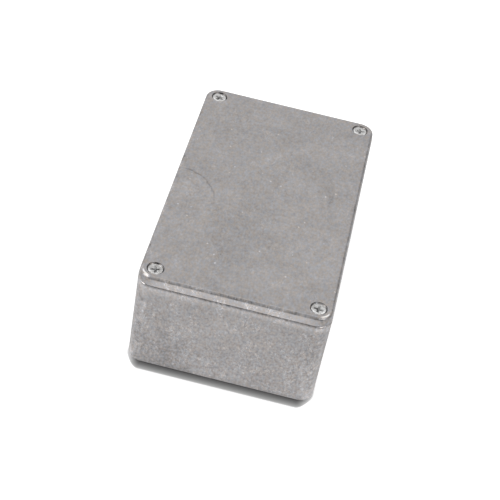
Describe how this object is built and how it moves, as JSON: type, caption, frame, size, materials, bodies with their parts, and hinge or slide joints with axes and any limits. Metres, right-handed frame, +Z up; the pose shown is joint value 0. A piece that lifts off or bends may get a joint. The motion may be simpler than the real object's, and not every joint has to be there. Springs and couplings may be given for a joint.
{
  "type": "die cast aluminium box",
  "caption": "Rectangular die cast box for electronics: drafted tray with corner pillars and board guides, and a lapped lid held down by countersunk corner screws.",
  "frame": {"origin": "centre of the flat underside of the box", "axes": "+X across the width, +Y along the length, +Z up through the lid"},
  "size_m": [0.08, 0.138, 0.0485],
  "materials": {
    "body_casting": "satin, as cast and tumbled",
    "lid_casting": "satin, as cast and tumbled",
    "screw_metal": "zinc plated, bright"
  },
  "bodies": {
    "root": {"body": "body_casting", "lid": "lid_casting", "lid_screws": "screw_metal"}
  },
  "joints": []
}
